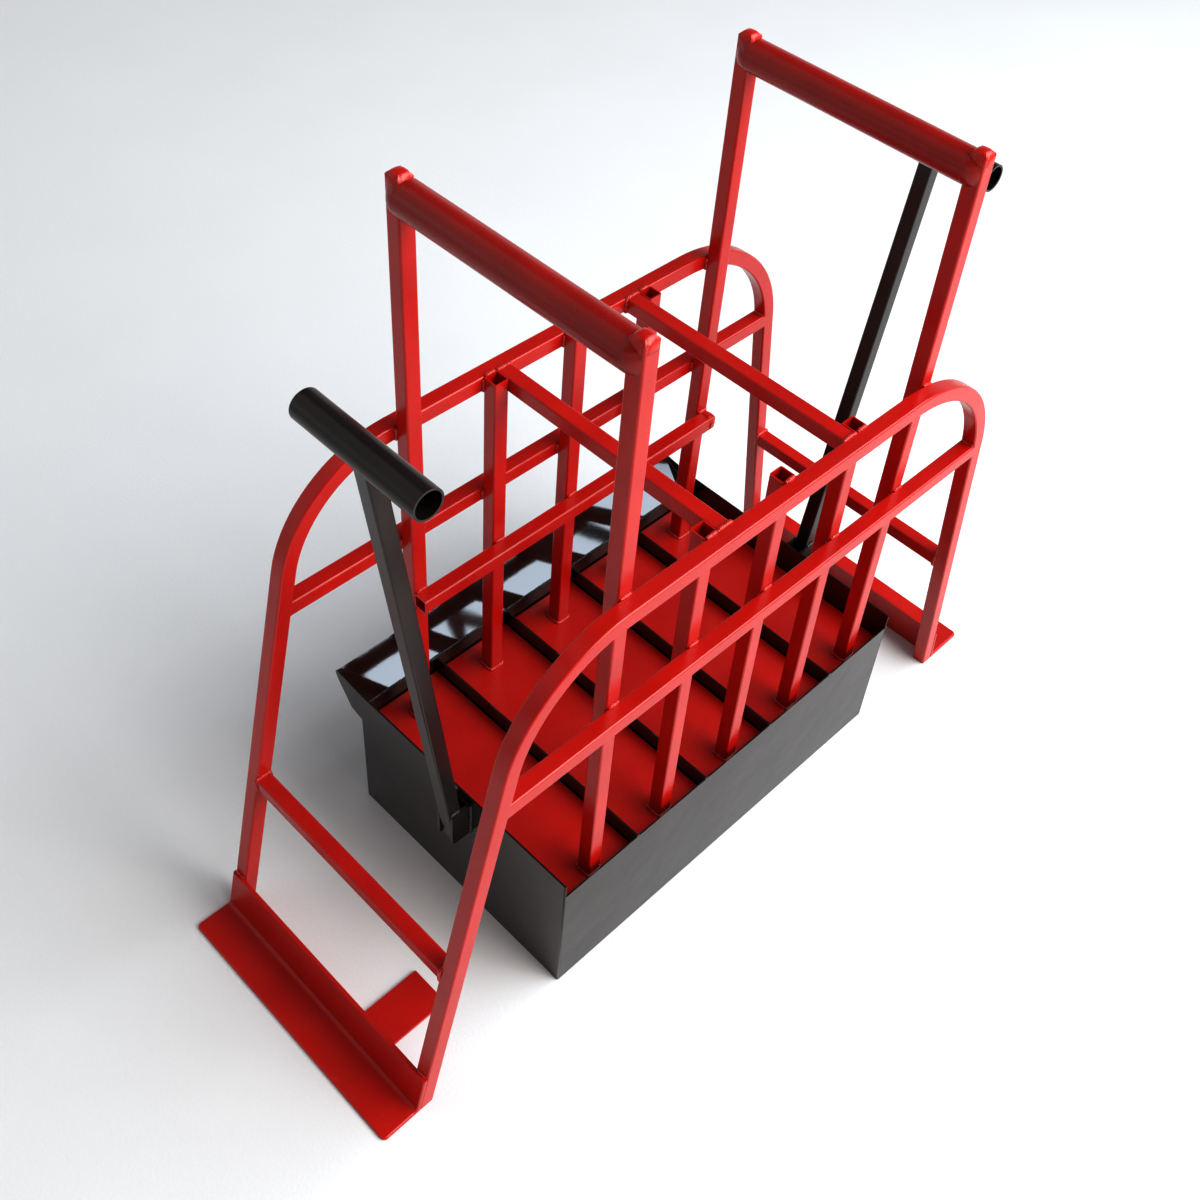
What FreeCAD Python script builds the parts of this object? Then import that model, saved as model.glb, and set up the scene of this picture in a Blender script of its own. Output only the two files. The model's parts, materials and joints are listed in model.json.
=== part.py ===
import FreeCAD, Part

import math
import os

# Hand-operated press mould for concrete blocks. A welded square-tube frame stands on two angle
# feet and carries one press plate over each cavity of an open mould box. The mould box lifts
# straight up round the plates, and leaves the blocks standing on the ground.
#
# Construction datum: x = 0 at the mould's left outer face, y = 0 at the near arch's outer face,
# z = 0 on the ground. Every piece is moved to the middle of the footprint when it is saved.

# Square tube of the frame and the levers
TUBE = 25.0
TUBE_WALL = 2.0
TUBE_CORNER = 3.0
CAP_RADIUS = 10.0
CAP_THICKNESS = 4.0

# Mould box, a row of cavities open at the top and the bottom
CAVITY_COUNT = 5
CAVITY_WIDTH = 150.0
CAVITY_DEPTH = 460.0
SHEET = 3.0
WALL_HEIGHT = 242.0
END_WALL_RISE = 30.0
END_WALL_EDGE_RADIUS = 2.0

# Filling tray along the far side and the end walls' ears that close it
TRAY_REACH = 60.0
TRAY_RISE = 36.0
EAR_MARGIN = 2.0
EAR_EDGE_HEIGHT = 8.0
EAR_CORNER_RADIUS = 5.0
EAR_ROOT_DEPTH = 33.0
EAR_SHOULDER_DEPTH = 26.0
EAR_SHOULDER_REACH = 26.0
EAR_CHAMFER_WIDTH = 7.0
EAR_CHAMFER_HEIGHT = 14.0

# Press plates, one over each cavity
BLOCK_HEIGHT = 207.0
PLATE_THICKNESS = 5.0
PLATE_CLEARANCE = 2.0

# Frame depth, from where the arches stand against the mould's front and far walls
NEAR_ARCH_PROUD = 10.0
FAR_ARCH_INSET = 11.0

# Bent arches
ARCH_TOP = 825.0
LEFT_LEG_STANDOFF = 284.0
RIGHT_LEG_STANDOFF = 210.0
LEFT_LEG_LEAN = 0.225
RIGHT_LEG_LEAN = 0.15
LEFT_BEND_RADIUS = 200.0
RIGHT_BEND_RADIUS = 250.0

# Straight members of the frame, by the height of their undersides
RAIL_BOTTOM = 590.0
LIFT_TRAVEL = 245.0
LIFT_CLEARANCE = 3.0
LEFT_TIE_BOTTOM = 271.0
RIGHT_TIE_BOTTOM = 290.0

# Feet, rolled angle that the operators stand on
LEFT_FOOT_REACH = 66.0
RIGHT_FOOT_REACH = 84.0
FOOT_RISE = 75.0
FOOT_THICKNESS = 6.0
FOOT_EDGE_RADIUS = 3.0
FOOT_ROOT_RADIUS = 7.0
FOOT_CORNER_RADIUS = 8.0
TAB_LENGTH = 134.0
TAB_WIDTH = 70.0
TAB_THICKNESS = 5.0
TAB_FROM_NEAR_END = 101.0

# Frame handles
LEFT_HANDLE_BAR_HEIGHT = 1180.0
RIGHT_HANDLE_BAR_HEIGHT = 1161.0
HANDLE_BAR_DIAMETER = 48.3
HANDLE_BAR_WALL = 2.6
HANDLE_LEG_OVER_BAR = 7.0

# Mould levers, their grips and their brackets
LEFT_LEVER_LEAN = 0.1366
RIGHT_LEVER_LEAN = 0.143
LEFT_LEVER_STANDOFF = 0.0
RIGHT_LEVER_STANDOFF = 15.0
LEVER_FOOT_CLEARANCE = 2.0
LEFT_GRIP_HEIGHT = 1040.0
RIGHT_GRIP_HEIGHT = 1017.0
GRIP_DIAMETER = 42.4
GRIP_WALL = 3.0
GRIP_LENGTH = 211.0
BRACKET_THICKNESS = 5.0
BRACKET_BELOW_WALL_TOP = 15.0
BRACKET_HEIGHT = 72.0
BRACKET_REACH = 36.0
BRACKET_CORNER_RADIUS = 8.0

# Values worked out from the driving dimensions
PITCH = CAVITY_WIDTH + SHEET
MOULD_LENGTH = CAVITY_COUNT * PITCH + SHEET
MOULD_FRONT = NEAR_ARCH_PROUD
MOULD_FAR = MOULD_FRONT + CAVITY_DEPTH + 2 * SHEET
FRAME_DEPTH = MOULD_FAR - SHEET - FAR_ARCH_INSET
FRAME_MIDDLE = FRAME_DEPTH / 2
NEAR_POST_Y = TUBE * 1.5
FAR_POST_Y = FRAME_DEPTH - TUBE * 1.5
PLATE_TOP = BLOCK_HEIGHT + PLATE_THICKNESS
END_WALL_HEIGHT = WALL_HEIGHT + END_WALL_RISE
BRACKET_TOP = END_WALL_HEIGHT - BRACKET_BELOW_WALL_TOP
BRACKET_BOTTOM = BRACKET_TOP - BRACKET_HEIGHT
LEVER_FOOT_HEIGHT = BRACKET_BOTTOM + LEVER_FOOT_CLEARANCE
INNER_RAIL_BOTTOM = WALL_HEIGHT + LIFT_TRAVEL + LIFT_CLEARANCE
EAR_TIP_Y = MOULD_FAR + TRAY_REACH + EAR_MARGIN
LEFT_END = -LEFT_LEG_STANDOFF - LEFT_FOOT_REACH
RIGHT_END = MOULD_LENGTH + RIGHT_LEG_STANDOFF + RIGHT_FOOT_REACH
ORIGIN = FreeCAD.Vector((LEFT_END + RIGHT_END) / 2, EAR_TIP_Y / 2, 0)


def vec(x, y, z):
    return FreeCAD.Vector(x, y, z)


def block(x0, x1, y0, y1, z0, z1):
    return Part.makeBox(x1 - x0, y1 - y0, z1 - z0, vec(x0, y0, z0))


def largest(shape):
    return max(shape.Solids, key=lambda solid: solid.Volume)


def edges_along(shape, direction):
    """The straight edges of a shape that run along a direction."""
    found = []
    for edge in shape.Edges:
        if isinstance(edge.Curve, Part.Line):
            if abs(edge.tangentAt(edge.FirstParameter).dot(direction)) > 0.999:
                found.append(edge)
    return found


def save(node, shape):
    moved = shape.copy()
    moved.translate(-ORIGIN)
    moved.exportStep(os.path.join("parts", node + ".step"))


def square_wire(size, corner):
    """Closed outline of a square with rounded corners, in the XY plane about the origin."""
    flat = size / 2 - corner
    edges = []
    for quarter in range(4):
        turn = FreeCAD.Rotation(vec(0, 0, 1), 90 * quarter)
        side_start = turn.multVec(vec(size / 2, -flat, 0))
        side_end = turn.multVec(vec(size / 2, flat, 0))
        arc_centre = vec(flat, flat, 0)
        arc_middle = turn.multVec(arc_centre + vec(corner, corner, 0) * math.sqrt(0.5))
        arc_end = turn.multVec(vec(flat, size / 2, 0))
        edges.append(Part.LineSegment(side_start, side_end).toShape())
        edges.append(Part.Arc(side_end, arc_middle, arc_end).toShape())
    return Part.Wire(edges)


def square_bar(start, end, size, corner):
    run = end - start
    bar = Part.Face(square_wire(size, corner)).extrude(vec(0, 0, run.Length))
    bar.Placement = FreeCAD.Placement(start, FreeCAD.Rotation(vec(0, 0, 1), run))
    return bar


def square_tube(start, end):
    """Rounded square tube, open at both ends."""
    bore = square_bar(start, end, TUBE - 2 * TUBE_WALL, TUBE_CORNER - TUBE_WALL)
    return square_bar(start, end, TUBE, TUBE_CORNER).cut(bore)


def capped_tube(start, end):
    """Rounded square tube, open at its start and closed by a rounded cap at its end."""
    run = end - start
    half = TUBE / 2
    dome = Part.makeBox(TUBE, TUBE, run.Length, vec(-half, -half, 0))
    end_edges = [edge for edge in dome.Edges if edge.BoundBox.ZMin > run.Length - TUBE_WALL / 2]
    dome = dome.makeFillet(CAP_RADIUS, end_edges)
    dome.Placement = FreeCAD.Placement(start, FreeCAD.Rotation(vec(0, 0, 1), run))
    bore_end = end - run.normalize() * (CAP_RADIUS + CAP_THICKNESS)
    bore = square_bar(start, bore_end, TUBE - 2 * TUBE_WALL, TUBE_CORNER - TUBE_WALL)
    return square_bar(start, end, TUBE, TUBE_CORNER).common(dome).cut(bore)


def round_bar(start, end, diameter):
    run = end - start
    return Part.makeCylinder(diameter / 2, run.Length, start, run)


def post_x(index):
    """Middle of cavity number index, counted from the left."""
    return SHEET + CAVITY_WIDTH / 2 + index * PITCH


# Bent arches

def left_leg_edge(height):
    """Outer edge of an arch's left leg at a height."""
    return -LEFT_LEG_STANDOFF + LEFT_LEG_LEAN * height


def right_leg_edge(height):
    """Outer edge of an arch's right leg at a height."""
    return MOULD_LENGTH + RIGHT_LEG_STANDOFF - RIGHT_LEG_LEAN * height


def leg_width(lean):
    """Level width of a tube that leans."""
    return TUBE * math.hypot(1, lean)


def bend(before, corner, after, radius):
    """Arc that is tangent to the two runs that meet at a corner."""
    back = (before - corner).normalize()
    ahead = (after - corner).normalize()
    half_angle = back.getAngle(ahead) / 2
    setback = radius / math.tan(half_angle)
    inward = (back + ahead).normalize()
    middle = corner + inward * (radius / math.sin(half_angle) - radius)
    return Part.Arc(corner + back * setback, middle, corner + ahead * setback)


def arch_path(y):
    """Centre line of an arch, run on below the ground at both ends."""
    below = -TUBE
    top = ARCH_TOP - TUBE / 2
    left_half = leg_width(LEFT_LEG_LEAN) / 2
    right_half = leg_width(RIGHT_LEG_LEAN) / 2
    left_foot = vec(left_leg_edge(below) + left_half, y, below)
    left_corner = vec(left_leg_edge(top) + left_half, y, top)
    right_corner = vec(right_leg_edge(top) - right_half, y, top)
    right_foot = vec(right_leg_edge(below) - right_half, y, below)
    left = bend(left_foot, left_corner, right_corner, LEFT_BEND_RADIUS - TUBE / 2)
    right = bend(left_corner, right_corner, right_foot, RIGHT_BEND_RADIUS - TUBE / 2)
    runs = [
        Part.LineSegment(left_foot, left.StartPoint),
        left,
        Part.LineSegment(left.EndPoint, right.StartPoint),
        right,
        Part.LineSegment(right.EndPoint, right_foot),
    ]
    return Part.Wire([run.toShape() for run in runs])


def swept_square(path, size, corner):
    start = path.Vertexes[0].Point
    direction = path.Edges[0].tangentAt(path.Edges[0].FirstParameter)
    outline = square_wire(size, corner)
    outline.Placement = FreeCAD.Placement(start, FreeCAD.Rotation(vec(0, 0, 1), direction))
    return path.makePipeShell([outline], True, True)


def arch_bar(y):
    """Solid bar of an arch's outside shape, cut level on the ground."""
    bar = swept_square(arch_path(y), TUBE, TUBE_CORNER)
    return bar.cut(block(LEFT_END, RIGHT_END, y - TUBE, y + TUBE, -3 * TUBE, 0))


def arch(y):
    bore = swept_square(arch_path(y), TUBE - 2 * TUBE_WALL, TUBE_CORNER - TUBE_WALL)
    return arch_bar(y).cut(bore)


# Straight members of the frame

def rail(y):
    """Rail in an arch's plane, its ends coped to the leaning legs."""
    level = RAIL_BOTTOM + TUBE / 2
    uncut = square_tube(vec(LEFT_END, y, level), vec(RIGHT_END, y, level))
    return largest(uncut.cut(arch_bar(y)))


def inner_rail():
    """Rail on the far posts' inner faces, open at the left and capped at the right."""
    y = FRAME_DEPTH - TUBE * 2.5
    level = INNER_RAIL_BOTTOM + TUBE / 2
    left = vec(post_x(0) - TUBE / 2, y, level)
    right = vec(post_x(CAVITY_COUNT - 1) + TUBE / 2, y, level)
    return capped_tube(left, right)


def cross_tube(x, level):
    """Tube from arch to arch."""
    return square_tube(vec(x, TUBE, level), vec(x, FRAME_DEPTH - TUBE, level))


def top_cross_bar(x):
    return cross_tube(x, ARCH_TOP - TUBE / 2)


def left_leg_tie():
    level = LEFT_TIE_BOTTOM + TUBE / 2
    return cross_tube(left_leg_edge(level) + leg_width(LEFT_LEG_LEAN) / 2, level)


def right_leg_tie():
    level = RIGHT_TIE_BOTTOM + TUBE / 2
    return cross_tube(right_leg_edge(level) - leg_width(RIGHT_LEG_LEAN) / 2, level)


def post(x, y):
    """Post from a press plate up to the arches' top, open at the top."""
    return square_tube(vec(x, y, PLATE_TOP), vec(x, y, ARCH_TOP))


def handle_leg(x, y, bar_height):
    """Post that runs on up past a handle bar."""
    top = bar_height + HANDLE_BAR_DIAMETER / 2 + HANDLE_LEG_OVER_BAR
    return capped_tube(vec(x, y, PLATE_TOP), vec(x, y, top))


def handle_bar(x, height):
    """Pipe with closed ends between the inner faces of a handle's legs."""
    start = vec(x, NEAR_POST_Y + TUBE / 2, height)
    end = vec(x, FAR_POST_Y - TUBE / 2, height)
    along = (end - start).normalize() * HANDLE_BAR_WALL
    outer = round_bar(start, end, HANDLE_BAR_DIAMETER)
    return outer.cut(round_bar(start + along, end - along, HANDLE_BAR_DIAMETER - 2 * HANDLE_BAR_WALL))


def press_plate(x):
    half = CAVITY_WIDTH / 2 - PLATE_CLEARANCE
    near = MOULD_FRONT + SHEET + PLATE_CLEARANCE
    far = MOULD_FAR - SHEET - PLATE_CLEARANCE
    return block(x - half, x + half, near, far, BLOCK_HEIGHT, PLATE_TOP)


def foot(leg_edge, lean, outward, reach):
    """Angle foot: leaning flange flat on the legs' outer faces, the other outward on the ground."""
    thickness = outward * FOOT_THICKNESS * math.hypot(1, lean)
    tip = leg_edge(0) + outward * reach
    root = vec(leg_edge(FOOT_THICKNESS) + thickness, 0, FOOT_THICKNESS)
    points = [
        vec(leg_edge(0), 0, 0),
        vec(tip, 0, 0),
        vec(tip, 0, FOOT_THICKNESS),
        root,
        vec(leg_edge(FOOT_RISE) + thickness, 0, FOOT_RISE),
        vec(leg_edge(FOOT_RISE), 0, FOOT_RISE),
    ]
    solid = Part.Face(Part.makePolygon(points + points[:1])).extrude(vec(0, FRAME_DEPTH, 0))

    def rounded(shape, radius, direction, touches):
        edges = [edge for edge in edges_along(shape, direction) if touches(edge.BoundBox)]
        return shape.makeFillet(radius, edges)

    along = vec(0, 1, 0)
    solid = rounded(solid, FOOT_ROOT_RADIUS, along, lambda box: box.isInside(root))
    solid = rounded(solid, FOOT_CORNER_RADIUS, vec(0, 0, 1), lambda box: abs(box.XMin - tip) < 0.1)
    return rounded(
        solid, FOOT_EDGE_RADIUS, along,
        lambda box: abs(box.XMin - tip) < 0.1 and box.ZMin > FOOT_THICKNESS - 0.1
    )


def left_foot():
    return foot(left_leg_edge, LEFT_LEG_LEAN, -1, LEFT_FOOT_REACH)


def right_foot():
    return foot(right_leg_edge, RIGHT_LEG_LEAN, 1, RIGHT_FOOT_REACH)


def spacer_tab():
    """Flat tab on the ground, from the left foot towards the mould."""
    left = left_leg_edge(0)
    near = TAB_FROM_NEAR_END
    tab = block(left, left + TAB_LENGTH, near, near + TAB_WIDTH, 0, TAB_THICKNESS)
    return tab.cut(left_foot())


# Mould box

def long_wall(near_face):
    """Front or far wall, between the end walls."""
    return block(SHEET, MOULD_LENGTH - SHEET, near_face, near_face + SHEET, 0, WALL_HEIGHT)


def divider(index):
    left = SHEET + CAVITY_WIDTH + index * PITCH
    return block(left, left + SHEET, MOULD_FRONT + SHEET, MOULD_FAR - SHEET, 0, WALL_HEIGHT)


def end_wall(left):
    """End wall with the ear that closes the filling tray."""
    ear_top = WALL_HEIGHT + TRAY_RISE + EAR_MARGIN
    edge_bottom = ear_top - EAR_EDGE_HEIGHT
    points = [
        vec(left, MOULD_FRONT, 0),
        vec(left, MOULD_FAR, 0),
        vec(left, MOULD_FAR, WALL_HEIGHT - EAR_ROOT_DEPTH),
        vec(left, MOULD_FAR + EAR_SHOULDER_REACH, WALL_HEIGHT - EAR_SHOULDER_DEPTH),
        vec(left, EAR_TIP_Y - EAR_CHAMFER_WIDTH, edge_bottom - EAR_CHAMFER_HEIGHT),
        vec(left, EAR_TIP_Y, edge_bottom),
        vec(left, EAR_TIP_Y, ear_top),
        vec(left, MOULD_FAR, END_WALL_HEIGHT),
        vec(left, MOULD_FRONT, END_WALL_HEIGHT),
    ]
    wall = Part.Face(Part.makePolygon(points + points[:1])).extrude(vec(SHEET, 0, 0))
    tip = []
    for edge in edges_along(wall, vec(1, 0, 0)):
        if edge.BoundBox.YMin > EAR_TIP_Y - 0.1 and edge.BoundBox.ZMin > ear_top - 0.1:
            tip.append(edge)
    wall = wall.makeFillet(EAR_CORNER_RADIUS, tip)
    outer_x = 0 if left == 0 else MOULD_LENGTH
    corner = []
    for edge in edges_along(wall, vec(0, 0, 1)):
        if abs(edge.BoundBox.XMin - outer_x) < 0.1 and edge.BoundBox.YMax < MOULD_FRONT + 0.1:
            corner.append(edge)
    return wall.makeFillet(END_WALL_EDGE_RADIUS, corner)


def filling_tray():
    """Sheet that slopes up and out from the far wall's top, between the ears."""
    drop = SHEET * math.hypot(1, TRAY_RISE / TRAY_REACH)
    points = [
        vec(SHEET, MOULD_FAR, WALL_HEIGHT),
        vec(SHEET, MOULD_FAR + TRAY_REACH, WALL_HEIGHT + TRAY_RISE),
        vec(SHEET, MOULD_FAR + TRAY_REACH, WALL_HEIGHT + TRAY_RISE - drop),
        vec(SHEET, MOULD_FAR, WALL_HEIGHT - drop),
    ]
    return Part.Face(Part.makePolygon(points + points[:1])).extrude(vec(MOULD_LENGTH - 2 * SHEET, 0, 0))


# Levers that lift the mould box

def mirrored(shape):
    """The same piece at the mould's other end."""
    return shape.mirror(vec(MOULD_LENGTH / 2, 0, 0), vec(1, 0, 0))


def lever_x(height, lean, standoff):
    """Middle of a lever at a height, at the left end."""
    inner_face = -BRACKET_THICKNESS - standoff - lean * (height - LEVER_FOOT_HEIGHT)
    return inner_face - leg_width(lean) / 2


def lever(lean, standoff, grip_height):
    """Leaning tube at the left end, cut level at its foot and coped to the grip at its top."""
    start_height = LEVER_FOOT_HEIGHT - TUBE
    low = vec(lever_x(start_height, lean, standoff), FRAME_MIDDLE, start_height)
    high = vec(lever_x(grip_height, lean, standoff), FRAME_MIDDLE, grip_height)
    tube = square_tube(low, high)
    below = block(low.x - TUBE, low.x + TUBE, 0, FRAME_DEPTH, 0, LEVER_FOOT_HEIGHT)
    grip_bar = round_bar(high - vec(0, TUBE, 0), high + vec(0, TUBE, 0), GRIP_DIAMETER)
    return largest(tube.cut(below).cut(grip_bar))


def grip(lean, standoff, grip_height):
    """Open pipe across the top of a lever at the left end."""
    middle = vec(lever_x(grip_height, lean, standoff), FRAME_MIDDLE, grip_height)
    half = vec(0, GRIP_LENGTH / 2, 0)
    outer = round_bar(middle - half, middle + half, GRIP_DIAMETER)
    return outer.cut(round_bar(middle - half, middle + half, GRIP_DIAMETER - 2 * GRIP_WALL))


def lever_bracket(standoff):
    """Channel on the left end wall that holds the lever's foot between its flanges."""
    reach = BRACKET_REACH + standoff
    near = FRAME_MIDDLE - TUBE / 2 - BRACKET_THICKNESS
    far = FRAME_MIDDLE + TUBE / 2 + BRACKET_THICKNESS
    channel = block(-reach, 0, near, far, BRACKET_BOTTOM, BRACKET_TOP)
    corners = []
    for edge in edges_along(channel, vec(0, 1, 0)):
        if edge.BoundBox.XMax < -reach + 0.1:
            corners.append(edge)
    channel = channel.makeFillet(BRACKET_CORNER_RADIUS, corners)
    slot = block(
        -reach, -BRACKET_THICKNESS, FRAME_MIDDLE - TUBE / 2, FRAME_MIDDLE + TUBE / 2,
        BRACKET_BOTTOM, BRACKET_TOP
    )
    return channel.cut(slot)


def save_frame():
    sides = {"near": (TUBE / 2, NEAR_POST_Y), "far": (FRAME_DEPTH - TUBE / 2, FAR_POST_Y)}
    last = CAVITY_COUNT - 1
    for side, (arch_y, post_y) in sides.items():
        save("arch_" + side, arch(arch_y))
        save("rail_" + side, rail(arch_y))
        save("handle_leg_left_" + side, handle_leg(post_x(0), post_y, LEFT_HANDLE_BAR_HEIGHT))
        save("handle_leg_right_" + side, handle_leg(post_x(last), post_y, RIGHT_HANDLE_BAR_HEIGHT))
        for index in range(1, last):
            save("post_%s_%d" % (side, index + 1), post(post_x(index), post_y))
    save("inner_rail_far", inner_rail())
    save("cross_bar_left", top_cross_bar(post_x(1) + TUBE))
    save("cross_bar_right", top_cross_bar(post_x(last - 1) - TUBE))
    save("leg_tie_left", left_leg_tie())
    save("leg_tie_right", right_leg_tie())
    save("handle_bar_left", handle_bar(post_x(0), LEFT_HANDLE_BAR_HEIGHT))
    save("handle_bar_right", handle_bar(post_x(last), RIGHT_HANDLE_BAR_HEIGHT))
    for index in range(CAVITY_COUNT):
        save("press_plate_%d" % (index + 1), press_plate(post_x(index)))
    save("foot_left", left_foot())
    save("foot_right", right_foot())
    save("spacer_tab", spacer_tab())


def save_mould():
    save("mould_front_wall", long_wall(MOULD_FRONT))
    save("mould_far_wall", long_wall(MOULD_FAR - SHEET))
    save("mould_end_wall_left", end_wall(0))
    save("mould_end_wall_right", end_wall(MOULD_LENGTH - SHEET))
    for index in range(CAVITY_COUNT - 1):
        save("divider_%d" % (index + 1), divider(index))
    save("filling_tray", filling_tray())
    left = (LEFT_LEVER_LEAN, LEFT_LEVER_STANDOFF)
    right = (RIGHT_LEVER_LEAN, RIGHT_LEVER_STANDOFF)
    save("lever_left", lever(*left, LEFT_GRIP_HEIGHT))
    save("grip_left", grip(*left, LEFT_GRIP_HEIGHT))
    save("lever_bracket_left", lever_bracket(LEFT_LEVER_STANDOFF))
    save("lever_right", mirrored(lever(*right, RIGHT_GRIP_HEIGHT)))
    save("grip_right", mirrored(grip(*right, RIGHT_GRIP_HEIGHT)))
    save("lever_bracket_right", mirrored(lever_bracket(RIGHT_LEVER_STANDOFF)))


os.makedirs("parts", exist_ok=True)
save_frame()
save_mould()
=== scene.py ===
import json
import math

import bmesh
import bpy
from mathutils import Matrix, Vector, noise


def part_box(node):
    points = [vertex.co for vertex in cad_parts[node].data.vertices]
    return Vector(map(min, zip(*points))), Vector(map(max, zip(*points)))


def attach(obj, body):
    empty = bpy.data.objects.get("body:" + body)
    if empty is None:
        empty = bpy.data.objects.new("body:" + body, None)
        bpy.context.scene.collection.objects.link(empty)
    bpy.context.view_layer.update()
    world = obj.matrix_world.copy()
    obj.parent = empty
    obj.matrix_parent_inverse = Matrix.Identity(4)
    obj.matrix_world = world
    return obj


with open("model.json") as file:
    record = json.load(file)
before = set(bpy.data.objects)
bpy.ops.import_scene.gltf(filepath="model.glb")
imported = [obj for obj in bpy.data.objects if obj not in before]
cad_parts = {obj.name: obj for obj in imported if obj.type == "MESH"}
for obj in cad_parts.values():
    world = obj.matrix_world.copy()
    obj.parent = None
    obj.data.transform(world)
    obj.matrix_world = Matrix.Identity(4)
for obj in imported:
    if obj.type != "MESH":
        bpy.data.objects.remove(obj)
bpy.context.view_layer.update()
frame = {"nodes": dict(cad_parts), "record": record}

# Looks for a hand-operated block mould press: gloss red tube frame, black sheet mould box.
# Everything is in metres, in the CAD model's own frame.

X = Vector((1, 0, 0))
Y = Vector((0, 1, 0))
Z = Vector((0, 0, 1))

# Camera: it stands off the left near corner of the mould and looks down across it, diagonally.
CAMERA_PLACE = (-1.1637, -0.9802, 2.1022)
CAMERA_AZIMUTH = -49.72
CAMERA_ELEVATION = 44.75
CAMERA_ROLL = 6.04
CAMERA_LENS = 43.377
CAMERA_SHIFT = (-0.0206, -0.0711)
SENSOR_WIDTH = 36.0

# Surround, floor and view
HORIZON_HEIGHT = 0.12
OVERHEAD_HEIGHT = 0.45
HORIZON_LIGHT = 0.85
OVERHEAD_LIGHT = 0.18
SKY_COLOUR = (0.95, 0.97, 1.0)
FLOOR_SIZE = 80
EXPOSURE = 0.1
GAMMA = 0.77

# Paint: noise scales in waves per metre, and the stretch of each value that makes a difference
TONE_SCALE = 11
TONE_RANGE = (0.35, 0.7)
DUST_CLOUD_SCALE = 16
DUST_CLOUD_RANGE = (0.45, 0.8)
DUST_GRAIN_SCALE = 420
DUST_GRAIN_RANGE = (0.55, 0.75)
DUST_TILT_RANGE = (0.4, 1.0)
DUST_DULLING = 0.5
# Lighter edges: partly wear, partly a painted highlight along the rounded edges
EDGE_WEAR_AND_HIGHLIGHT_WIDTH = 0.0016
EDGE_WEAR_AND_HIGHLIGHT_RANGE = (0.97, 0.8)
WEAR_AND_HIGHLIGHT_SCALE = 90
WEAR_AND_HIGHLIGHT_RANGE = (0.5, 0.62)
GLOSS_SCALE = 13
GLOSS_RANGE = (0.2, 0.8)
GLOSS_DRIFT = 1.1
PEEL_SCALE = 480
WAVE_SCALE = 9

# Paint on the weld beads, with painted shade and highlight that follow the lumps
LUMP_SCALE = 190
LUMP_SHADING_RANGE = (0.35, 0.65)
LUMP_DEPTH = 0.0006
PIT_SCALE = 700
PIT_DEPTH = 0.0002
WELD_GLOSS_SCALE = 120
WELD_GLOSS_RANGE = (0.3, 0.7)
WELD_GLOSS_DRIFT = 1.5

# Floor surface
FLOOR_TONE_SCALE = 3
FLOOR_GRAIN_SCALE = 180
FLOOR_GRAIN_DEPTH = 0.0004
FLOOR_ROUGHNESS = 0.75

# Stock the CAD model is cut from
TUBE = 0.025
TUBE_CORNER = 0.003
TUBE_BORE = 0.021

# Weld beads
BEAD_RADIUS = 0.0031
THIN_BEAD_RADIUS = 0.0012
BEAD_STEP = 0.001
BEAD_SIDES = 8
RIPPLE_PITCH = 0.0032
RIPPLE_DEPTH = 0.14
BEAD_WANDER = 0.25
BEAD_WANDER_SCALE = 160
BEAD_END_SIZE = 0.55
BEAD_END_GROWTH = 0.15
BEAD_FEWEST_STEPS = 6
CORNER_STEPS = 3
ARCH_SEAM_STEPS = 4
CAVITY_WELD_DEPTH = 0.02
TACK_RADIUS = 0.0017
TACK_HALF_LENGTH = 0.004
TRAY_BEAD_RADIUS = 0.0015
FOOT_WELD_HEIGHTS = (0.06, 0.35, 0.65, 0.94)

# How far a bead sits off its seam, and how far one that is ground flush sits inside its tube
SEAT = 0.0006
GROUND_INSET = 0.0042

# Where lines that look for a surface start: a height over everything, a distance past a lever
ABOVE_ALL = 2.0
BESIDE_LEVER = 0.5

# A point of a tube's end is on its outside when it lies this far past the bore
BORE_MARGIN = 0.0002

# Points around each ring of a collar or a cap
RING_POINTS = 48

# Collars that run a handle bar's end into the leg beside it
COLLAR_DEPTH = 0.0235
COLLAR_RINGS = 12
COLLAR_POWER = 2.2
COLLAR_FLATTENING = 0.12
COLLAR_DENT = 0.0004
COLLAR_DENT_SCALE = 90

# Rounded caps of the handle legs and the inner rail
DOME_RINGS = 12
DOME_WIDTH = 0.0134
DOME_HEIGHT = 0.018
DOME_POWER = 3.0
DOME_TIP = 0.0004
DOME_DENT = 0.0005
DOME_DENT_SCALE = 120

# Fixes the offsets of noise_vector, which otherwise come from the clock
NOISE_SEED = 7

# Edge rounding of the sheet and plate pieces
SHEET_EDGE = 0.0006
PLATE_EDGE = 0.0009
EDGE_SEGMENTS = 2
SHARP_ANGLE = 35
JOIN_DISTANCE = 0.00001

# The four plates between the five cavities
DIVIDERS = ["divider_%d" % number for number in range(1, 5)]


# Camera and light

def make_camera():
    azimuth = math.radians(CAMERA_AZIMUTH)
    elevation = math.radians(CAMERA_ELEVATION)
    roll = math.radians(CAMERA_ROLL)
    ahead = Vector((
        -math.sin(azimuth) * math.cos(elevation),
        math.cos(azimuth) * math.cos(elevation),
        -math.sin(elevation),
    ))
    level = ahead.cross(Z).normalized()
    down = ahead.cross(level)
    right = level * math.cos(roll) - down * math.sin(roll)
    down = level * math.sin(roll) + down * math.cos(roll)
    data = bpy.data.cameras.new("camera")
    data.sensor_width = SENSOR_WIDTH
    data.lens = CAMERA_LENS
    data.shift_x, data.shift_y = CAMERA_SHIFT
    camera = bpy.data.objects.new("camera", data)
    bpy.context.scene.collection.objects.link(camera)
    turn = Matrix((right, -down, -ahead)).transposed()
    camera.matrix_world = Matrix.Translation(CAMERA_PLACE) @ turn.to_4x4()
    bpy.context.scene.camera = camera


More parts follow.
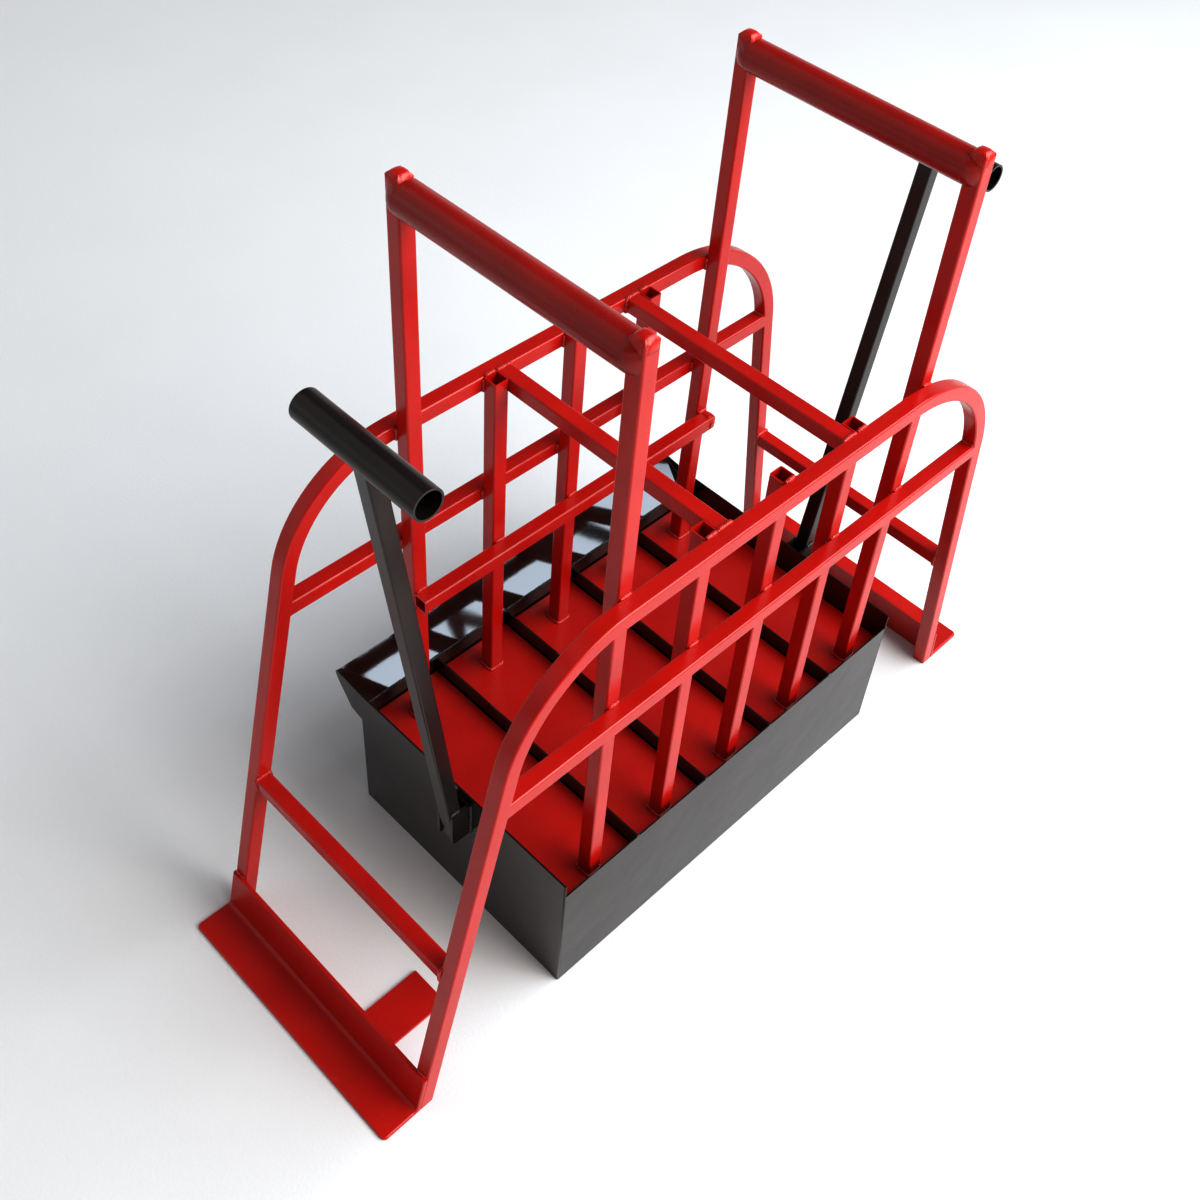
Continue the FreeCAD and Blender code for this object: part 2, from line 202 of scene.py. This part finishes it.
def make_light(name, place, target, size, power, colour):
    data = bpy.data.lights.new(name, "AREA")
    data.shape = "DISK"
    data.size = size
    data.energy = power
    data.color = colour
    light = bpy.data.objects.new(name, data)
    bpy.context.scene.collection.objects.link(light)
    aim = Vector(target) - Vector(place)
    light.matrix_world = Matrix.Translation(place) @ aim.to_track_quat("-Z", "Y").to_matrix().to_4x4()


def make_sun(name, towards, power, spread_angle, colour):
    """Distant soft light that lies in a direction from the object."""
    data = bpy.data.lights.new(name, "SUN")
    data.energy = power
    data.angle = math.radians(spread_angle)
    data.color = colour
    light = bpy.data.objects.new(name, data)
    bpy.context.scene.collection.objects.link(light)
    light.rotation_euler = Vector(towards).to_track_quat("Z", "Y").to_euler()


def make_world():
    """Pale surround, bright at the horizon and dimmer overhead."""
    world = bpy.data.worlds.new("surround")
    bpy.context.scene.world = world
    world.use_nodes = True
    tree = world.node_tree
    coords = tree.nodes.new("ShaderNodeTexCoord")
    split = tree.nodes.new("ShaderNodeSeparateXYZ")
    tree.links.new(coords.outputs["Generated"], split.inputs[0])
    height = tree.nodes.new("ShaderNodeMapRange")
    height.interpolation_type = "SMOOTHSTEP"
    height.inputs["From Min"].default_value = HORIZON_HEIGHT
    height.inputs["From Max"].default_value = OVERHEAD_HEIGHT
    height.inputs["To Min"].default_value = HORIZON_LIGHT
    height.inputs["To Max"].default_value = OVERHEAD_LIGHT
    tree.links.new(split.outputs["Z"], height.inputs["Value"])
    background = tree.nodes["Background"]
    background.inputs["Color"].default_value = (*SKY_COLOUR, 1.0)
    tree.links.new(height.outputs["Result"], background.inputs["Strength"])


# Materials

def material(name):
    """A material with its shader and coordinates that stay with the object."""
    made = bpy.data.materials.new(name)
    made.use_nodes = True
    tree = made.node_tree
    coords = tree.nodes.new("ShaderNodeTexCoord").outputs["Object"]
    return made, tree, tree.nodes["Principled BSDF"], coords


def add(tree, kind, settings, inputs):
    """A node with its settings, and inputs that are either sockets or plain values."""
    node = tree.nodes.new(kind)
    for key, value in settings.items():
        setattr(node, key, value)
    for key, value in inputs.items():
        if isinstance(value, bpy.types.NodeSocket):
            tree.links.new(value, node.inputs[key])
        else:
            node.inputs[key].default_value = value
    return node


def noise_map(tree, coords, scale, detail):
    """Noise from 0 to 1 at a scale in waves per metre."""
    inputs = {"Vector": coords, "Scale": scale, "Detail": detail}
    return add(tree, "ShaderNodeTexNoise", {}, inputs).outputs["Fac"]


def spread(tree, value, low, high, to_low=0.0, to_high=1.0):
    """A value carried from one range to another, and held inside it."""
    inputs = {
        "Value": value, "From Min": low, "From Max": high, "To Min": to_low, "To Max": to_high,
    }
    return add(tree, "ShaderNodeMapRange", {}, inputs).outputs["Result"]


def product(tree, first, second):
    return add(tree, "ShaderNodeMath", {"operation": "MULTIPLY"}, {0: first, 1: second}).outputs[0]


def mix(tree, amount, first, second):
    node = add(tree, "ShaderNodeMix", {"data_type": "RGBA"}, {0: amount})
    for index, value in ((6, first), (7, second)):
        if isinstance(value, bpy.types.NodeSocket):
            tree.links.new(value, node.inputs[index])
        else:
            node.inputs[index].default_value = (*value, 1.0)
    return node.outputs[2]


def bumps(tree, layers):
    """Bump nodes one on another, from pairs of a height and a depth in metres."""
    normal = None
    for height, depth in layers:
        inputs = {"Height": height, "Distance": depth}
        if normal is not None:
            inputs["Normal"] = normal
        normal = add(tree, "ShaderNodeBump", {}, inputs).outputs[0]
    return normal


def paint(name, base, shade, rough, peel, wave, dust, dust_colour, wear_and_highlight_colour, wear_and_highlight, ior=1.5,
          painted_reflection_tint=(1.0, 0.92, 0.86)):
    """Sprayed enamel: drifting tone and gloss, orange peel, settled dust, and lighter edges that are partly
    wear and partly a painted highlight.
    """
    made, tree, shader, coords = material(name)
    tone = spread(tree, noise_map(tree, coords, TONE_SCALE, 4), *TONE_RANGE)
    colour = mix(tree, tone, base, shade)

    cloud = spread(tree, noise_map(tree, coords, DUST_CLOUD_SCALE, 5), *DUST_CLOUD_RANGE)
    grain = spread(tree, noise_map(tree, coords, DUST_GRAIN_SCALE, 2), *DUST_GRAIN_RANGE)
    normal = tree.nodes.new("ShaderNodeNewGeometry").outputs["Normal"]
    tilt = add(tree, "ShaderNodeSeparateXYZ", {}, {0: normal}).outputs["Z"]
    settled = spread(tree, tilt, *DUST_TILT_RANGE)
    dusting = product(tree, product(tree, product(tree, cloud, grain), settled), dust)
    colour = mix(tree, dusting, colour, dust_colour)

    # Edges lightened towards a paler colour: partly wear, partly a painted highlight along the rounded
    # edges
    bevel = add(tree, "ShaderNodeBevel", {"samples": 4}, {"Radius": EDGE_WEAR_AND_HIGHLIGHT_WIDTH})
    facing = add(
        tree, "ShaderNodeVectorMath", {"operation": "DOT_PRODUCT"}, {0: bevel.outputs[0], 1: normal},
    )
    edge = spread(tree, facing.outputs["Value"], *EDGE_WEAR_AND_HIGHLIGHT_RANGE)
    patch = spread(tree, noise_map(tree, coords, WEAR_AND_HIGHLIGHT_SCALE, 4), *WEAR_AND_HIGHLIGHT_RANGE)
    edge_wear_and_highlight = product(tree, product(tree, edge, patch), wear_and_highlight)
    colour = mix(tree, edge_wear_and_highlight, colour, wear_and_highlight_colour)
    tree.links.new(colour, shader.inputs["Base Color"])

    drift = noise_map(tree, coords, GLOSS_SCALE, 1)
    gloss = spread(tree, drift, *GLOSS_RANGE, rough, rough * GLOSS_DRIFT)
    dull = add(
        tree, "ShaderNodeMath", {"operation": "MULTIPLY_ADD"}, {0: dusting, 1: DUST_DULLING, 2: gloss},
    )
    tree.links.new(dull.outputs[0], shader.inputs["Roughness"])
    surface = [
        (noise_map(tree, coords, PEEL_SCALE, 1), peel),
        (noise_map(tree, coords, WAVE_SCALE, 2), wave),
    ]
    tree.links.new(bumps(tree, surface), shader.inputs["Normal"])
    # Tint on the reflections: a painted colour cast, warm on most paints and bluish on the tray, standing
    # in for the colour of the surroundings they reflect
    shader.inputs["Specular Tint"].default_value = (*painted_reflection_tint, 1.0)
    shader.inputs["IOR"].default_value = ior
    return made


def shaded_weld_paint(name, base, shade, rough):
    """Enamel over a weld bead, lumpy and finely pitted, with painted shade in the hollows of the lumps and
    a painted highlight on their crests.
    """
    made, tree, shader, coords = material(name)
    lumps = noise_map(tree, coords, LUMP_SCALE, 3)
    # Colour follows the lump height: painted shade in the hollows, painted highlight on the crests
    colour = mix(tree, spread(tree, lumps, *LUMP_SHADING_RANGE), shade, base)
    tree.links.new(colour, shader.inputs["Base Color"])
    drift = noise_map(tree, coords, WELD_GLOSS_SCALE, 2)
    gloss = spread(tree, drift, *WELD_GLOSS_RANGE, rough, rough * WELD_GLOSS_DRIFT)
    tree.links.new(gloss, shader.inputs["Roughness"])
    surface = [(lumps, LUMP_DEPTH), (noise_map(tree, coords, PIT_SCALE, 2), PIT_DEPTH)]
    tree.links.new(bumps(tree, surface), shader.inputs["Normal"])
    return made


def floor_material():
    """Pale matt floor with a faint grain."""
    made, tree, shader, coords = material("floor")
    tone = noise_map(tree, coords, FLOOR_TONE_SCALE, 6)
    colour = mix(tree, tone, (0.76, 0.76, 0.76), (0.72, 0.72, 0.72))
    tree.links.new(colour, shader.inputs["Base Color"])
    shader.inputs["Roughness"].default_value = FLOOR_ROUGHNESS
    grain = noise_map(tree, coords, FLOOR_GRAIN_SCALE, 4)
    tree.links.new(bumps(tree, [(grain, FLOOR_GRAIN_DEPTH)]), shader.inputs["Normal"])
    return made


# The lighter edge colours in these sets are partly wear and partly a painted highlight
RED = dict(base=(0.46, 0.007, 0.003), shade=(0.39, 0.005, 0.0025), dust_colour=(0.55, 0.2, 0.15),
           wear_and_highlight_colour=(0.6, 0.1, 0.07))
DARK_RED = dict(RED, base=(0.3, 0.006, 0.003), shade=(0.24, 0.004, 0.002))
BLACK = dict(base=(0.006, 0.0045, 0.004), shade=(0.011, 0.008, 0.006), dust_colour=(0.2, 0.18, 0.16),
             wear_and_highlight_colour=(0.11, 0.085, 0.07))
LEVER = dict(base=(0.011, 0.007, 0.006), shade=(0.007, 0.005, 0.0045), dust_colour=(0.12, 0.1, 0.09),
             wear_and_highlight_colour=(0.09, 0.07, 0.06))
MATERIALS = {
    "tube_red": paint("tube_red", rough=0.24, peel=0.00002, wave=0.0006, dust=0.1, wear_and_highlight=0.1, **RED),
    "bar_red": paint("bar_red", rough=0.26, peel=0.00002, wave=0.0008, dust=0.1, wear_and_highlight=0.1, **DARK_RED),
    "plate_red": paint("plate_red", rough=0.3, peel=0.00003, wave=0.001, dust=0.3, wear_and_highlight=0.2, **RED),
    # The sheet's warm tint and the tray's bluish tint on reflections are painted reflection colour
    "sheet_black": paint("sheet_black", rough=0.06, peel=0.00001, wave=0.0014, dust=0.1, wear_and_highlight=0.12,
                         painted_reflection_tint=(1.0, 0.88, 0.8), **BLACK),
    "tray_black": paint("tray_black", rough=0.05, peel=0.00001, wave=0.0003, dust=0.25, wear_and_highlight=0.12,
                        ior=1.75, painted_reflection_tint=(0.82, 0.9, 1.0), **BLACK),
    "lever_black": paint("lever_black", rough=0.25, peel=0.00003, wave=0.0008, dust=0.1, wear_and_highlight=0.2, **LEVER),
    # The weld red is lighter and pinker than the tube red: a painted highlight on the beads
    "weld_red": shaded_weld_paint("weld_red", (0.56, 0.03, 0.02), (0.36, 0.006, 0.004), 0.17),
    "weld_black": shaded_weld_paint("weld_black", (0.025, 0.02, 0.02), (0.008, 0.007, 0.007), 0.2),
}


def paint_for(name, slot):
    """Name of the paint on a CAD piece."""
    if slot == "lever_black":
        return "lever_black"
    if name == "filling_tray":
        return "tray_black"
    if slot == "mould_black":
        return "sheet_black"
    if name.startswith("handle_bar"):
        return "bar_red"
    if name.startswith(("press_plate", "foot", "spacer_tab")):
        return "plate_red"
    return "tube_red"


def round_edges(item, width):
    """Joins the mesh's loose corners, and bevels its sharp edges."""
    joined = item.modifiers.new("join", "WELD")
    joined.merge_threshold = JOIN_DISTANCE
    edges = item.modifiers.new("edges", "BEVEL")
    edges.width = width
    edges.segments = EDGE_SEGMENTS
    edges.limit_method = "ANGLE"
    edges.angle_limit = math.radians(SHARP_ANGLE)
    edges.harden_normals = True


def finish_nodes():
    """Gives each CAD piece its paint, and rounds the edges of plates, sheets and brackets."""
    slots = {part["node"]: part["material_slot"] for part in frame["record"]["subparts"]}
    for name, item in frame["nodes"].items():
        item.data.materials.clear()
        item.data.materials.append(MATERIALS[paint_for(name, slots[name])])
        if slots[name] == "mould_black":
            round_edges(item, SHEET_EDGE)
        elif name.startswith(("press_plate", "spacer_tab", "lever_bracket")):
            round_edges(item, PLATE_EDGE)


# Weld beads

def middle(node):
    """Centre of a CAD piece's box."""
    low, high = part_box(node)
    return (low + high) / 2


def spaced(points, closed):
    """A line through points, cut into equal short steps."""
    if closed:
        points = points + points[:1]
    lengths = [(b - a).length for a, b in zip(points, points[1:])]
    total = sum(lengths)
    count = max(BEAD_FEWEST_STEPS, round(total / BEAD_STEP))
    found = []
    index = 0
    passed = 0.0
    for step in range(count if closed else count + 1):
        along = min(total * step / count, total)
        while index < len(lengths) - 1 and passed + lengths[index] < along:
            passed += lengths[index]
            index += 1
        share = (along - passed) / max(lengths[index], 1e-9)
        found.append(points[index].lerp(points[index + 1], min(share, 1.0)))
    return found


def bead(mesh, points, radius, closed):
    """A rippled bead along a line, like the pools of a hand-laid weld."""
    places = spaced(points, closed)
    count = len(places)
    rings = []
    side = None
    for index, place in enumerate(places):
        before = places[index - 1] if closed or index else place
        after = places[(index + 1) % count] if closed or index < count - 1 else place
        ahead = (after - before).normalized()
        side = ahead.orthogonal() if side is None else side
        side = (side - ahead * side.dot(ahead)).normalized()
        across = ahead.cross(side)
        ripple = RIPPLE_DEPTH * math.sin(2 * math.pi * index * BEAD_STEP / RIPPLE_PITCH)
        swell = BEAD_WANDER * noise.noise(place * BEAD_WANDER_SCALE)
        size = radius * (1 + ripple + swell)
        if not closed:
            from_end = min(index, count - 1 - index)
            size *= min(1.0, BEAD_END_SIZE + BEAD_END_GROWTH * from_end)
        ring = []
        for turn in range(BEAD_SIDES):
            angle = 2 * math.pi * turn / BEAD_SIDES
            outward = side * math.cos(angle) + across * math.sin(angle)
            ring.append(mesh.verts.new(place + outward * size))
        rings.append(ring)
    loft(mesh, rings)
    if closed:
        first, last = rings[0], rings[-1]
        turn = min(range(BEAD_SIDES), key=lambda k: (first[k].co - last[0].co).length)
        skin(mesh, last, first[turn:] + first[:turn])
    else:
        close_ends(mesh, rings)


def skin(mesh, first, second):
    """Quads between two rings of the same count."""
    count = len(first)
    for turn in range(count):
        after = (turn + 1) % count
        mesh.faces.new((first[turn], first[after], second[after], second[turn]))


def loft(mesh, rings):
    """Quads along a row of rings."""
    for first, second in zip(rings, rings[1:]):
        skin(mesh, first, second)


def close_ends(mesh, rings):
    """Flat faces over the first and the last ring."""
    mesh.faces.new(rings[0][::-1])
    mesh.faces.new(rings[-1])


def piece(name, mesh, body, paint_name):
    """Turns mesh code into a named piece that rides on a body."""
    bmesh.ops.recalc_face_normals(mesh, faces=mesh.faces)
    data = bpy.data.meshes.new(name)
    mesh.to_mesh(data)
    mesh.free()
    for face in data.polygons:
        face.use_smooth = True
    data.materials.append(MATERIALS[paint_name])
    made = bpy.data.objects.new(name, data)
    bpy.context.scene.collection.objects.link(made)
    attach(made, body)


def welds(name, lines, body, paint_name, radius, closed):
    """Beads along several lines, as one piece."""
    mesh = bmesh.new()
    for line in lines:
        bead(mesh, line, radius, closed)
    piece(name, mesh, body, paint_name)


def red_welds(name, lines, closed=False):
    welds(name, lines, "press_frame", "weld_red", BEAD_RADIUS, closed)


def black_welds(name, lines, radius=BEAD_RADIUS, closed=False):
    welds(name, lines, "mould_box", "weld_black", radius, closed)


def around_square(centre, u, v, half):
    """Rounded square loop about a centre, in the plane of two directions."""
    loop = []
    flat = half - TUBE_CORNER
    for quarter in range(4):
        for step in range(CORNER_STEPS + 1):
            angle = math.pi / 2 * (quarter + step / CORNER_STEPS)
            corner = Vector((
                math.copysign(flat, math.cos(math.pi / 2 * (quarter + 0.5))),
                math.copysign(flat, math.sin(math.pi / 2 * (quarter + 0.5))),
            ))
            corner += TUBE_CORNER * Vector((math.cos(angle), math.sin(angle)))
            loop.append(centre + u * corner.x + v * corner.y)
    return loop


def end_loop(node, ahead):
    """Outer outline of a square tube's end, where it meets the piece it is welded to."""
    ahead = ahead.normalized()
    u = Y if abs(ahead.y) < 0.5 else X
    v = ahead.cross(u)
    points = [vertex.co.copy() for vertex in frame["nodes"][node].data.vertices]
    reach = [point.dot(ahead) for point in points]
    halfway = (min(reach) + max(reach)) / 2
    end = [point for point, far in zip(points, reach) if far > halfway]
    mid_u = (min(p.dot(u) for p in end) + max(p.dot(u) for p in end)) / 2
    mid_v = (min(p.dot(v) for p in end) + max(p.dot(v) for p in end)) / 2
    outer = {}
    for point in end:
        across, up = point.dot(u) - mid_u, point.dot(v) - mid_v
        if max(abs(across), abs(up)) > TUBE_BORE / 2 + BORE_MARGIN:
            key = round(math.atan2(up, across), 2)
            if key not in outer or point.dot(ahead) > outer[key].dot(ahead):
                outer[key] = point
    return [outer[key] for key in sorted(outer)]


def surface_at(node, start, ahead):
    """Where a line from a start first meets a CAD piece, or None."""
    hit, place, _, _ = frame["nodes"][node].ray_cast(start, ahead)
    return place if hit else None


SIDES = {
    "near": (1, ["handle_leg_left_near", "post_near_2", "post_near_3", "post_near_4",
                 "handle_leg_right_near"]),
    "far": (-1, ["handle_leg_left_far", "post_far_2", "post_far_3", "post_far_4",
                 "handle_leg_right_far"]),
}


def weld_posts():
    """Posts to press plates, rails and arches."""
    for side, (inward, posts) in SIDES.items():
        rail_low, rail_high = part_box("rail_" + side)
        seam = rail_high.y if inward > 0 else rail_low.y
        arch_y = middle("arch_" + side).y
        for post in posts:
            low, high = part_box(post)
            foot = Vector((middle(post).x, middle(post).y, low.z + SEAT))
            red_welds("weld_foot_" + post, [around_square(foot, X, Y, TUBE / 2 + SEAT)], closed=True)
            left = low.x + TUBE_CORNER
            right = high.x - TUBE_CORNER
            front = seam - inward * SEAT
            lines = []
            for z in (rail_high.z + SEAT, rail_low.z - SEAT):
                lines.append([Vector((left, front, z)), Vector((right, front, z))])
            width = right - left
            xs = [left + width * step / ARCH_SEAM_STEPS for step in range(ARCH_SEAM_STEPS + 1)]
            for start, ahead in ((ABOVE_ALL, -1), (rail_high.z + TUBE, 1)):
                hits = [surface_at("arch_" + side, Vector((x, arch_y, start)), Z * ahead) for x in xs]
                lines.append([Vector((p.x, front, p.z - ahead * SEAT)) for p in hits])
            back = seam + inward * SEAT
            tops = [lines[2][0].z, lines[2][-1].z]
            for x, top in ((low.x - SEAT, tops[0]), (high.x + SEAT, tops[1])):
                lines.append([Vector((x, back, rail_low.z + TUBE_CORNER)),
                              Vector((x, back, rail_high.z - TUBE_CORNER))])
                lines.append([Vector((x, back, top - TUBE)), Vector((x, back, top - TUBE_CORNER))])
            red_welds("weld_seams_" + post, lines)


def weld_members():
    """Rails, cross bars and leg ties at both of their ends, and the inner rail on its posts.

    The rails' beads are ground flush on the two faces where rail and arch lie level.
    """
    for node in ("rail_near", "rail_far"):
        low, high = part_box(node)
        loops = [end_loop(node, X), end_loop(node, -X)]
        for place in loops[0] + loops[1]:
            place.y = min(max(place.y, low.y + GROUND_INSET), high.y - GROUND_INSET)
        red_welds("weld_ends_" + node, loops, closed=True)
    for node in ("cross_bar_left", "cross_bar_right", "leg_tie_left", "leg_tie_right"):
        red_welds("weld_ends_" + node, [end_loop(node, Y), end_loop(node, -Y)], closed=True)
    low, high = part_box("inner_rail_far")
    lines = []
    for post in SIDES["far"][1]:
        post_low, post_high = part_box(post)
        for z in (low.z - SEAT, high.z + SEAT):
            lines.append([Vector((post_low.x + TUBE_CORNER, high.y - SEAT, z)),
                          Vector((post_high.x - TUBE_CORNER, high.y - SEAT, z))])
    red_welds("weld_inner_rail", lines)
    cap_tube("inner_rail_far", X, Y, Z)


def cap_tube(node, ahead, u, v):
    """Rounded weld cap over the end of a tube, a little fuller than the tube."""
    low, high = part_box(node)
    centre = (low + high) / 2
    tip = centre + ahead * (high - centre).dot(ahead)
    mesh = bmesh.new()
    rings = []
    for index in range(DOME_RINGS):
        rise = math.sin(math.pi / 2 * index / (DOME_RINGS - 1))
        width = DOME_WIDTH * (1 - rise ** DOME_POWER) ** (1 / DOME_POWER) + DOME_TIP
        ring = []
        for step in range(RING_POINTS):
            angle = 2 * math.pi * step / RING_POINTS
            c, s = math.cos(angle), math.sin(angle)
            squareness = (abs(c) ** DOME_POWER + abs(s) ** DOME_POWER) ** (-1 / DOME_POWER)
            place = tip + (u * c + v * s) * width * squareness
            place += ahead * ((DOME_HEIGHT + SEAT / 2) * rise - DOME_HEIGHT)
            dent = DOME_DENT * (1 - rise)
            ring.append(mesh.verts.new(place + noise.noise_vector(place * DOME_DENT_SCALE) * dent))
        rings.append(ring)
    loft(mesh, rings)
    close_ends(mesh, rings)
    piece("cap_" + node, mesh, "press_frame", "tube_red")


def collar(name, centre, radius, face, outward):
    """Filled shoulder where a thick handle bar runs into the narrower leg."""
    mesh = bmesh.new()
    rings = []
    for index in range(COLLAR_RINGS):
        share = index / (COLLAR_RINGS - 1)
        depth = COLLAR_DEPTH * share - SEAT
        narrow = share ** COLLAR_POWER
        half_width = radius + (TUBE / 2 - SEAT - radius) * narrow
        half_height = radius * (1 - COLLAR_FLATTENING * narrow)
        swell = math.sin(share * math.pi)
        ring = []
        for step in range(RING_POINTS):
            angle = 2 * math.pi * step / RING_POINTS
            place = Vector((
                centre.x + half_width * math.cos(angle),
                face + outward * depth,
                centre.z + half_height * math.sin(angle),
            ))
            place += noise.noise_vector(place * COLLAR_DENT_SCALE) * COLLAR_DENT * swell
            ring.append(mesh.verts.new(place))
        rings.append(ring)
    loft(mesh, rings)
    close_ends(mesh, rings)
    piece(name, mesh, "press_frame", "bar_red")


def finish_handles():
    """Collars at the handle bars' ends, and caps over the handle legs."""
    for end in ("left", "right"):
        low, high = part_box("handle_bar_" + end)
        centre = (low + high) / 2
        radius = (high.x - low.x) / 2
        for side, face, outward in (("near", low.y, -1), ("far", high.y, 1)):
            collar("collar_%s_%s" % (end, side), centre, radius, face, outward)
            cap_tube("handle_leg_%s_%s" % (end, side), Z, X, Y)


def weld_feet():
    """Legs to feet, and the flat tab to the left foot."""
    for end, outward in (("left", -1), ("right", 1)):
        foot = "foot_" + end
        foot_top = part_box(foot)[1].z
        lines = []
        for side, (inward, _) in SIDES.items():
            arch_low, arch_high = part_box("arch_" + side)
            seam = arch_high.y if inward > 0 else arch_low.y
            start = Vector((0, (arch_low.y + arch_high.y) / 2, foot_top + SEAT))
            top = surface_at("arch_" + side, start + X * outward, X * -outward)
            lines.append([Vector((top.x, arch_low.y + TUBE_CORNER, top.z)),
                          Vector((top.x, arch_high.y - TUBE_CORNER, top.z))])
            rise = []
            for share in FOOT_WELD_HEIGHTS:
                start = Vector((0, seam + inward * SEAT, foot_top * share))
                place = surface_at(foot, start, X * outward)
                rise.append(place - X * outward * SEAT)
            lines.append(rise)
        red_welds("weld_" + foot, lines)
    low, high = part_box("spacer_tab")
    start = surface_at("foot_left", Vector((0, middle("spacer_tab").y, high.z + SEAT)), -X)
    red_welds("weld_spacer_tab", [[Vector((start.x + SEAT, low.y + SEAT, start.z)),
                                   Vector((start.x + SEAT, high.y - SEAT, start.z))]])


def weld_levers():
    """Levers to their brackets and grips, and the brackets to the end walls."""
    for end, outward in (("left", -1), ("right", 1)):
        bracket_low, bracket_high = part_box("lever_bracket_" + end)
        wall_low, wall_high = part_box("mould_end_wall_" + end)
        wall = wall_low.x if outward < 0 else wall_high.x
        lever = "lever_" + end
        low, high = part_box(lever)
        y = middle(lever).y
        z = bracket_high.z + SEAT
        inner = surface_at(lever, Vector((wall + outward * SEAT, y, z)), X * outward)
        outer = surface_at(lever, Vector((wall + outward * BESIDE_LEVER, y, z)), X * -outward)
        lines = []
        for side_y in (low.y - SEAT, high.y + SEAT):
            lines.append([Vector((inner.x + outward * TUBE_CORNER, side_y, z)),
                          Vector((outer.x - outward * TUBE_CORNER, side_y, z))])
        for side_y in (bracket_low.y - SEAT, bracket_high.y + SEAT):
            lines.append([Vector((wall + outward * SEAT, side_y, bracket_low.z)),
                          Vector((wall + outward * SEAT, side_y, bracket_high.z))])
        black_welds("weld_bracket_" + end, lines)
        grip = middle("grip_" + end)
        ahead = grip - Vector(((inner.x + outer.x) / 2, y, z))
        black_welds("weld_grip_" + end, [end_loop(lever, ahead)], closed=True)


def weld_mould():
    """Corners of the cavities, tacks over the dividers' ends, and the tray's seams."""
    front_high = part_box("mould_front_wall")[1]
    far_low, far_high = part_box("mould_far_wall")
    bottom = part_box("press_plate_1")[1].z - CAVITY_WELD_DEPTH
    top = front_high.z - SEAT
    edges = [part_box("mould_end_wall_left")[1].x]
    for divider in DIVIDERS:
        low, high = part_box(divider)
        edges += [low.x, high.x]
    edges.append(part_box("mould_end_wall_right")[0].x)
    lines = []
    for index, x in enumerate(edges):
        into = SEAT if index % 2 == 0 else -SEAT
        for y in (front_high.y + SEAT, far_low.y - SEAT):
            lines.append([Vector((x + into, y, bottom)), Vector((x + into, y, top))])
    black_welds("weld_cavity_corners", lines, THIN_BEAD_RADIUS)
    tacks = []
    for divider in DIVIDERS:
        x = middle(divider).x
        for y in (middle("mould_front_wall").y, middle("mould_far_wall").y):
            tacks.append([Vector((x - TACK_HALF_LENGTH, y, front_high.z)),
                          Vector((x + TACK_HALF_LENGTH, y, front_high.z))])
    black_welds("weld_divider_tacks", tacks, TACK_RADIUS)
    tray_low, tray_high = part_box("filling_tray")
    seams = [[Vector((tray_low.x, far_high.y, far_high.z)), Vector((tray_high.x, far_high.y, far_high.z))]]
    for x in (tray_low.x + SEAT, tray_high.x - SEAT):
        seams.append([Vector((x, far_high.y, far_high.z + SEAT)),
                      Vector((x, tray_high.y - SEAT, tray_high.z + SEAT))])
    black_welds("weld_tray", seams, TRAY_BEAD_RADIUS)


noise.seed_set(NOISE_SEED)
finish_nodes()
weld_posts()
weld_members()
finish_handles()
weld_feet()
weld_levers()
weld_mould()

bpy.ops.mesh.primitive_plane_add(size=FLOOR_SIZE)
floor = bpy.context.object
floor.name = "floor"
floor.data.materials.append(floor_material())

make_world()
make_light("key", place=(2.6, -1.9, 4.0), target=(0.0, 0.0, 0.3), size=4.2, power=240,
           colour=(0.86, 0.93, 1.0))
make_light("front", place=(1.0, -3.9, 2.4), target=(0.0, 0.0, 0.6), size=2.5, power=110,
           colour=(1.0, 0.97, 0.93))
make_sun("wide", towards=(0.3, -0.75, 0.7), power=1.5, spread_angle=50, colour=(1.0, 0.98, 0.95))
make_sun("back", towards=(-0.4, 0.75, 0.6), power=0.4, spread_angle=60, colour=(0.95, 0.97, 1.0))
view = bpy.context.scene.view_settings
view.view_transform = "Standard"
view.exposure = EXPOSURE
view.gamma = GAMMA

make_camera()
